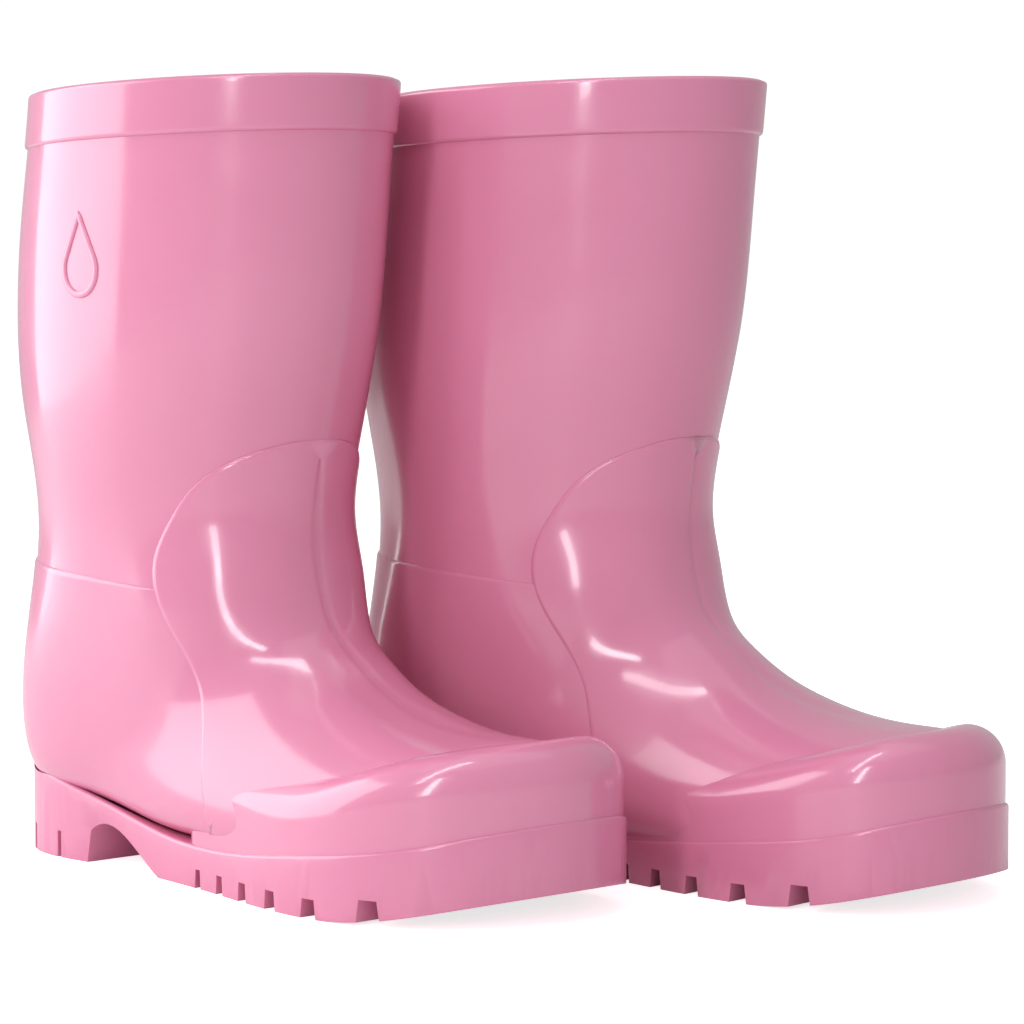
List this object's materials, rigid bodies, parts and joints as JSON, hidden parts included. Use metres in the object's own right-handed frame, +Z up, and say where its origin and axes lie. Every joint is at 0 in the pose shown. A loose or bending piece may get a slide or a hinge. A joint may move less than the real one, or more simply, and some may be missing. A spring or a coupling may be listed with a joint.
{
  "type": "rain boots",
  "caption": "Pair of glossy moulded rain boots with lugged soles, raised vamp and heel panels, a toe rand, a collar band and loose footbeds.",
  "frame": {"origin": "centre of the pair's bounding box at ground level", "axes": "+X from the heels towards the toes, +Y from the right boot towards the left boot, +Z up"},
  "size_m": [0.3462, 0.2218, 0.276],
  "materials": {
    "pink_pvc": "high gloss moulded PVC",
    "sole_rubber": "gloss moulded PVC, same colour as the upper",
    "knit_lining": "fine knitted sock",
    "board": "pressed fibre board",
    "footbed_foam": "cloth covered foam"
  },
  "bodies": {
    "right_boot": {"right_outsole": "sole_rubber", "right_toe_rand": "pink_pvc", "right_vamp": "pink_pvc", "right_heel_counter": "pink_pvc", "right_leg": "pink_pvc", "right_collar_band": "pink_pvc", "right_emblem": "pink_pvc", "right_lining": "knit_lining", "right_insole_board": "board"},
    "right_footbed_body": {"right_footbed": "footbed_foam"},
    "left_boot": {"left_outsole": "sole_rubber", "left_toe_rand": "pink_pvc", "left_vamp": "pink_pvc", "left_heel_counter": "pink_pvc", "left_leg": "pink_pvc", "left_collar_band": "pink_pvc", "left_emblem": "pink_pvc", "left_lining": "knit_lining", "left_insole_board": "board"},
    "left_footbed_body": {"left_footbed": "footbed_foam"}
  },
  "joints": [
    {"name": "left_boot_lift", "type": "slide", "parent": "right_boot", "child": "left_boot", "axis": [0, 0, 1], "range_m": [0, 0.3]},
    {"name": "right_footbed_lift", "type": "hinge", "parent": "right_boot", "child": "right_footbed_body", "pos_m": [0.08161, -0.05975, 0.034], "axis": [0.0523, 0.9986, 0], "range_deg": [0, 10]},
    {"name": "left_footbed_lift", "type": "hinge", "parent": "left_boot", "child": "left_footbed_body", "pos_m": [0.15761, 0.05975, 0.034], "axis": [-0.0523, 0.9986, 0], "range_deg": [0, 10]}
  ]
}
